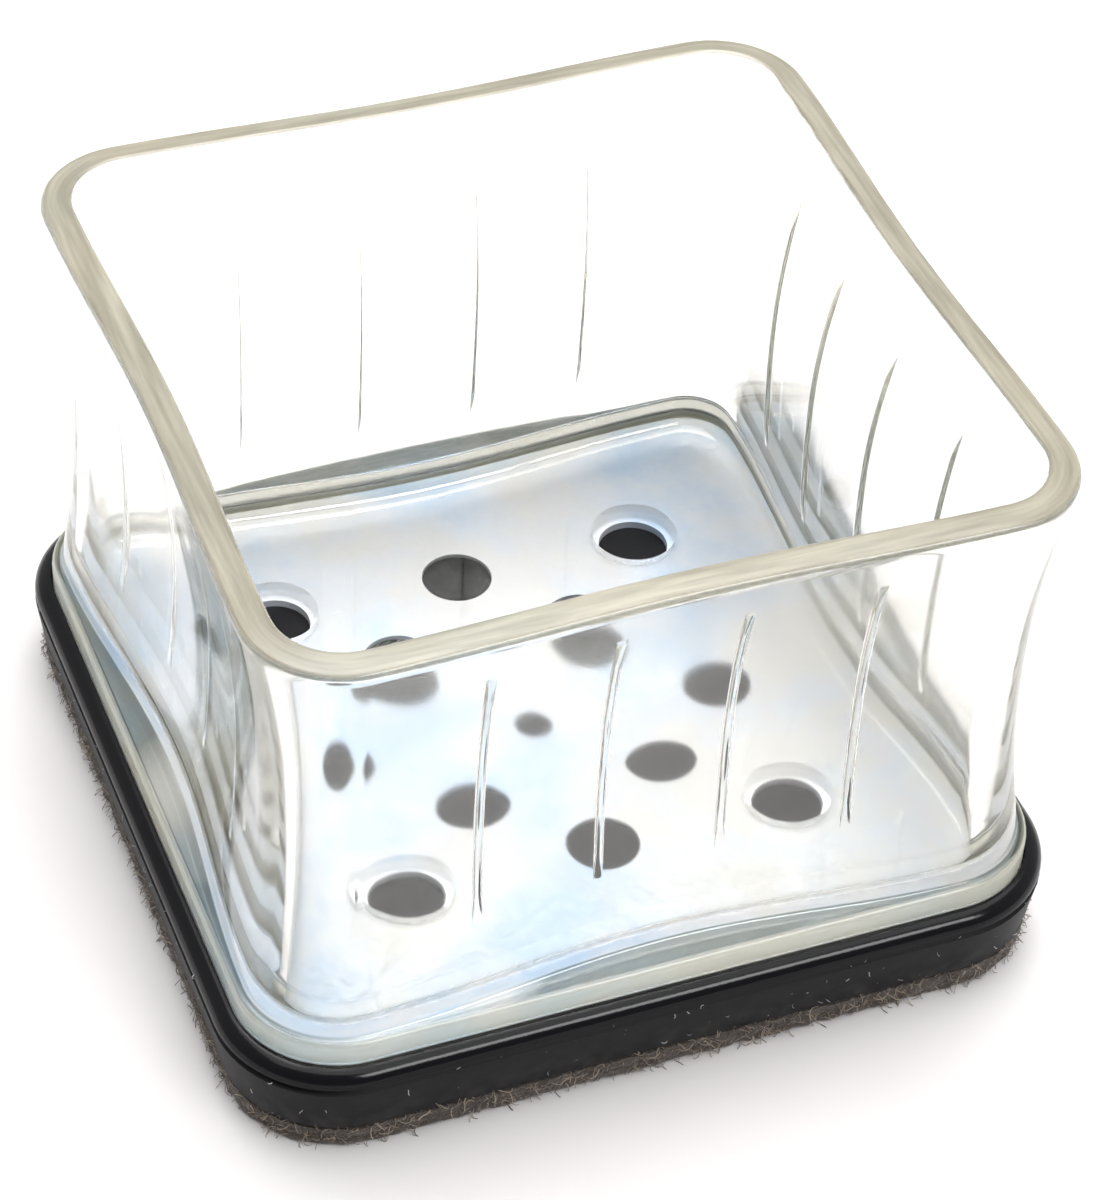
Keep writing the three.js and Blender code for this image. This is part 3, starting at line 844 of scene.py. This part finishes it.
def curled_strands(node, group):
    """One strand of unit length for each curl, as instances to pick from."""
    slender = node(MATH, group["Fibre Width"], group["Fibre Length"], operation="DIVIDE")
    radius = node(MATH, slender, 2.0, operation="DIVIDE")
    section = node("GeometryNodeCurvePrimitiveCircle", {"Resolution": STRAND_SIDES, "Radius": radius})
    kinds = []
    for first, second, tip in CURLS:
        points = {"Start": (0, 0, 0), "Start Handle": first, "End Handle": second, "End": tip}
        curl = node("GeometryNodeCurvePrimitiveBezierSegment", STRAND_STEPS, points)
        strand = node("GeometryNodeCurveToMesh", curl, section, {"Fill Caps": True})
        kinds.append(node("GeometryNodeGeometryToInstance", strand))
    return node("GeometryNodeJoinGeometry", kinds)


def scatter_fibres(piece, title, fibres, material):
    """Scatters curled fibres over a piece's faces; the fibres take its place."""
    inputs = {
        "Fibres per Area": fibres.density / MM**2,
        "Clumps per Length": 1 / fibres.clump,
        "Fibre Length": fibres.length,
        "Fibre Width": fibres.width,
        "Least Lean": fibres.least_lean,
        "Most Lean": fibres.most_lean,
        "Lowest": fibres.width / 2,
        "Seed": fibres.seed,
        "Material": material,
    }
    node, group = nodes_modifier(piece, title, inputs)
    seed = group["Seed"]
    clumps = node(NOISE, {"Scale": group["Clumps per Length"], "Detail": 2.0})
    crowd = node(RANGE, clumps, 0.35, 0.65, SPARSE, THICK)
    density = node(MATH, crowd, group["Fibres per Area"], operation="MULTIPLY")
    crowded = {"Density": density, "Seed": seed}
    spots = node("GeometryNodeDistributePointsOnFaces", group["Geometry"], crowded)
    kinds = curled_strands(node, group)
    which = node(RANDOM, {INT_MIN: 0, INT_MAX: len(CURLS) - 1, "Seed": seed}, data_type="INT")
    upright = node(COMBINE, group["Least Lean"], {"Z": -math.pi})
    lying = node(COMBINE, group["Most Lean"], {"Z": math.pi})
    lean = node(RANDOM, upright, lying, {"Seed": seed}, data_type="FLOAT_VECTOR")
    facing = spots.outputs["Rotation"]
    aim = node("FunctionNodeRotateRotation", facing, lean, rotation_space="LOCAL")
    share = node(RANDOM, {FLOAT_MIN: SHORTEST, FLOAT_MAX: 1.0, "Seed": seed}, data_type="FLOAT")
    size = node(MATH, share, group["Fibre Length"], operation="MULTIPLY")
    placed = node(
        "GeometryNodeInstanceOnPoints",
        {"Points": spots, "Instance": kinds, "Pick Instance": True, "Instance Index": which},
        {"Rotation": aim, "Scale": size},
    )
    tone = node(RANDOM, {FLOAT_MIN: 0.0, FLOAT_MAX: 1.0, "Seed": seed}, data_type="FLOAT")
    toned = node(
        "GeometryNodeStoreNamedAttribute",
        {"Geometry": placed, "Name": "tone", "Value": tone},
        domain="INSTANCE",
        data_type="FLOAT",
    )
    end_tree(node, toned, group["Material"], group["Lowest"])
    make_plain(piece)
    piece.data.shade_smooth()
    dress(piece, "felt")


def felt_fuzz(settings):
    """Fibres that have worked loose from the pad's cut edge below the tray."""
    outline = Outline(settings.sleeve, side_steps=24, corner_steps=8)
    half = PAD_HIGH.x - settings.fuzz.width
    heights = (settings.pad.edge_round, TRAY_LOW.z)
    piece = loft("felt_fuzz", [outline.level(half, z) for z in heights], capped=False)
    finishes = settings.finishes
    material = loose_fibre("Loose felt fibre", finishes.fibre_dark, finishes.fibre_pale)
    scatter_fibres(piece, "Loose fibres of the felt", settings.fuzz, material)


def tray_lint(settings):
    """Lint that clings to the tray's side."""
    tray = settings.tray
    outline = Outline(settings.sleeve, side_steps=24, corner_steps=8)
    half, foot = TRAY_HIGH.x, TRAY_LOW.z + tray.skirt_round
    bead_line = TRAY_HIGH.z - tray.bead_height
    places = [(half - tray.skirt_taper, foot), (half, bead_line - tray.groove_height), (half, bead_line)]
    piece = loft("tray_lint", [outline.level(*place) for place in places], capped=False)
    material = loose_fibre("Lint", settings.finishes.lint_dark, settings.finishes.lint_pale)
    scatter_fibres(piece, "Lint on the tray", settings.lint, material)


def loose_fibre(name, dark, pale):
    """Single fibres: matt, each of its own tone between dark and pale, few of them pale."""
    material, node, shader = new_material(name)
    tone = node("ShaderNodeAttribute", attribute_name="tone").outputs["Fac"]
    rare = node(MATH, tone, 2.5, operation="POWER")
    tint = node(MIX, rare, {A: dark, B: pale}, data_type="RGBA")
    fill(shader, {"Base Color": tint, "Roughness": 0.8, "Sheen Weight": 0.2})
    return material


# Stage, with how often light may bounce and how far the card reaches each way
BOUNCES, CARD_REACH = 32, 1.5


def stage(settings):
    """White card floor, soft studio light and the camera."""
    scene = bpy.context.scene
    scene.view_settings.view_transform = "Standard"
    # Light runs a long way inside the clear wall, so it may bounce often
    for kind in ("max_bounces", "transmission_bounces", "glossy_bounces"):
        setattr(scene.cycles, kind, BOUNCES)
    mesh = bpy.data.meshes.new("white_card")
    corners = [(x * CARD_REACH, y * CARD_REACH, 0) for x, y in ((-1, -1), (1, -1), (1, 1), (-1, 1))]
    mesh.from_pydata(corners, [], [(0, 1, 2, 3)])
    mesh.materials.append(white_card(settings.finishes))
    card = object_of("white_card", mesh)
    studio(scene, settings.stage)
    softbox("Front softbox", azimuth=23, elevation=48, distance=0.8, size=(0.35, 0.2), power=1.6)
    # The strip draws the highlight along the bead and leaves the shadow in front as it is
    strip = softbox("Front strip", azimuth=23, elevation=48, distance=0.78, size=(0.35, 0.2), power=2.4)
    strip.visible_diffuse = False
    softbox("Overhead softbox", azimuth=150, elevation=82, distance=1.0, size=(1.1, 1.1), power=11.0)
    softbox("Key softbox", azimuth=165, elevation=70, distance=0.9, size=(0.45, 0.45), power=4.0)
    camera(scene, settings.stage)


def white_card(finishes):
    """Matt white card with a faint tooth."""
    material, node, shader = new_material("White card, matt")
    place = node(COORDINATE).outputs["Object"]
    # Tooth of the card, 0.5 mm
    tooth = node(NOISE, place, {"Scale": 1 / (0.5 * MM), "Detail": 3.0})
    bump = node(BUMP, {"Height": tooth, "Strength": 0.05, "Distance": 0.02 * MM})
    fill(shader, {"Base Color": finishes.floor, "Roughness": 0.9, "Normal": bump})
    return material


def toward(azimuth, elevation):
    """A direction from the object: azimuth 0 is the front and 90 the right, in radians."""
    level = math.cos(elevation)
    return Vector((math.sin(azimuth) * level, -math.cos(azimuth) * level, math.sin(elevation)))


def studio(scene, stage_settings):
    """Light from all round, darker on the camera's side, which draws the ribs and the clear edges."""
    world = bpy.data.worlds.new("Studio")
    scene.world = world
    world.use_nodes = True
    node = partial(add_node, world.node_tree)
    side = node(COORDINATE).outputs["Generated"]
    front = toward(stage_settings.azimuth, 0.0)
    depth = node(VECTOR, side, front, operation="DOT_PRODUCT")
    back_light, front_light = stage_settings.back_light, stage_settings.front_light
    bright = node(RANGE, depth, -0.8, 0.8, back_light, front_light)
    fill(world.node_tree.nodes["Background"], {"Color": linear("#FFFFFF"), "Strength": bright})


def softbox(name, azimuth, elevation, distance, size, power):
    """An area light in a direction from the object, facing it."""
    data = bpy.data.lights.new(name, "AREA")
    data.shape = "RECTANGLE"
    data.size, data.size_y = size
    data.energy = power
    light = object_of(name, data)
    back = toward(math.radians(azimuth), math.radians(elevation))
    light.location = back * distance
    light.rotation_euler = (-back).to_track_quat("-Z", "Y").to_euler()
    return light


def camera(scene, stage_settings):
    """The camera at the photograph's viewing angle."""
    data = bpy.data.cameras.new("Camera")
    data.lens = stage_settings.lens
    eye = object_of("Camera", data)
    back = toward(stage_settings.azimuth, stage_settings.elevation)
    level = Vector((0, 0, 1)).cross(back).normalized()
    right = Matrix.Rotation(stage_settings.roll, 3, back) @ level
    up = back.cross(right)
    place = Matrix((right, up, back)).transposed().to_4x4()
    place.translation = Vector(stage_settings.target) + back * stage_settings.distance
    eye.matrix_world = place
    data.clip_start, data.clip_end = 0.01, 10
    scene.camera = eye


class LegCap(bpy.types.PropertyGroup):
    """Everything that a user can set"""

    sleeve: bpy.props.PointerProperty(type=SleeveSizes, name="Sleeve")
    plate: bpy.props.PointerProperty(type=PlateSizes, name="Plate")
    tray: bpy.props.PointerProperty(type=TraySizes, name="Tray")
    pad: bpy.props.PointerProperty(type=PadSizes, name="Pad")
    fuzz: bpy.props.PointerProperty(type=FuzzSizes, name="Fuzz")
    lint: bpy.props.PointerProperty(type=LintSizes, name="Lint")
    finishes: bpy.props.PointerProperty(type=Finishes, name="Finishes")
    stage: bpy.props.PointerProperty(type=StageSettings, name="Stage")


# Operators
class LEGCAP_OT_clear_sleeve(bpy.types.Operator):
    """Moulds the clear sleeve with its ribs, windows and keys"""

    bl_idname = "leg_cap.clear_sleeve"
    bl_label = "Clear sleeve"

    def execute(self, context):
        clear_sleeve(context.scene.leg_cap)
        return {"FINISHED"}


class LEGCAP_OT_steel_plate(bpy.types.Operator):
    """Punches and plates the steel plate"""

    bl_idname = "leg_cap.steel_plate"
    bl_label = "Steel plate"

    def execute(self, context):
        steel_plate(context.scene.leg_cap)
        return {"FINISHED"}


class LEGCAP_OT_base_tray(bpy.types.Operator):
    """Moulds the black tray"""

    bl_idname = "leg_cap.base_tray"
    bl_label = "Base tray"

    def execute(self, context):
        base_tray(context.scene.leg_cap)
        return {"FINISHED"}


class LEGCAP_OT_pad_adhesive(bpy.types.Operator):
    """Lays the adhesive film"""

    bl_idname = "leg_cap.pad_adhesive"
    bl_label = "Pad adhesive"

    def execute(self, context):
        pad_adhesive(context.scene.leg_cap)
        return {"FINISHED"}


class LEGCAP_OT_felt_pad(bpy.types.Operator):
    """Cuts the felt pad"""

    bl_idname = "leg_cap.felt_pad"
    bl_label = "Felt pad"

    def execute(self, context):
        felt_pad(context.scene.leg_cap)
        return {"FINISHED"}


class LEGCAP_OT_fibres(bpy.types.Operator):
    """Scatters the felt's loose fibres and the tray's lint"""

    bl_idname = "leg_cap.fibres"
    bl_label = "Loose fibres"

    def execute(self, context):
        felt_fuzz(context.scene.leg_cap)
        tray_lint(context.scene.leg_cap)
        return {"FINISHED"}


class LEGCAP_OT_stage(bpy.types.Operator):
    """Sets the floor, the light and the camera"""

    bl_idname = "leg_cap.stage"
    bl_label = "Stage"

    def execute(self, context):
        stage(context.scene.leg_cap)
        return {"FINISHED"}


OPERATORS = (
    LEGCAP_OT_clear_sleeve,
    LEGCAP_OT_steel_plate,
    LEGCAP_OT_base_tray,
    LEGCAP_OT_pad_adhesive,
    LEGCAP_OT_felt_pad,
    LEGCAP_OT_fibres,
    LEGCAP_OT_stage,
)


class LEGCAP_PT_panel(bpy.types.Panel):
    """Lists the pieces in the order they are built"""

    bl_idname = "LEGCAP_PT_panel"
    bl_label = "Chair leg cap"
    bl_space_type = "VIEW_3D"
    bl_region_type = "UI"
    bl_category = "Leg Cap"

    def draw(self, context):
        for operator in OPERATORS:
            self.layout.operator(operator.bl_idname)


SIZES = (SleeveSizes, PlateSizes, TraySizes, PadSizes, FuzzSizes, LintSizes)
CLASSES = (*SIZES, Finishes, StageSettings, LegCap, *OPERATORS, LEGCAP_PT_panel)


def register():
    """Adds the settings, the operators and the panel."""
    for item in CLASSES:
        bpy.utils.register_class(item)
    bpy.types.Scene.leg_cap = bpy.props.PointerProperty(type=LegCap, name="Chair leg cap")


def unregister():
    """Takes them away again."""
    del bpy.types.Scene.leg_cap
    for item in reversed(CLASSES):
        bpy.utils.unregister_class(item)


def main():
    """Builds every piece and the stage."""
    register()
    bpy.ops.leg_cap.clear_sleeve()
    bpy.ops.leg_cap.steel_plate()
    bpy.ops.leg_cap.base_tray()
    bpy.ops.leg_cap.pad_adhesive()
    bpy.ops.leg_cap.felt_pad()
    bpy.ops.leg_cap.fibres()
    bpy.ops.leg_cap.stage()


if __name__ == "__main__":
    main()
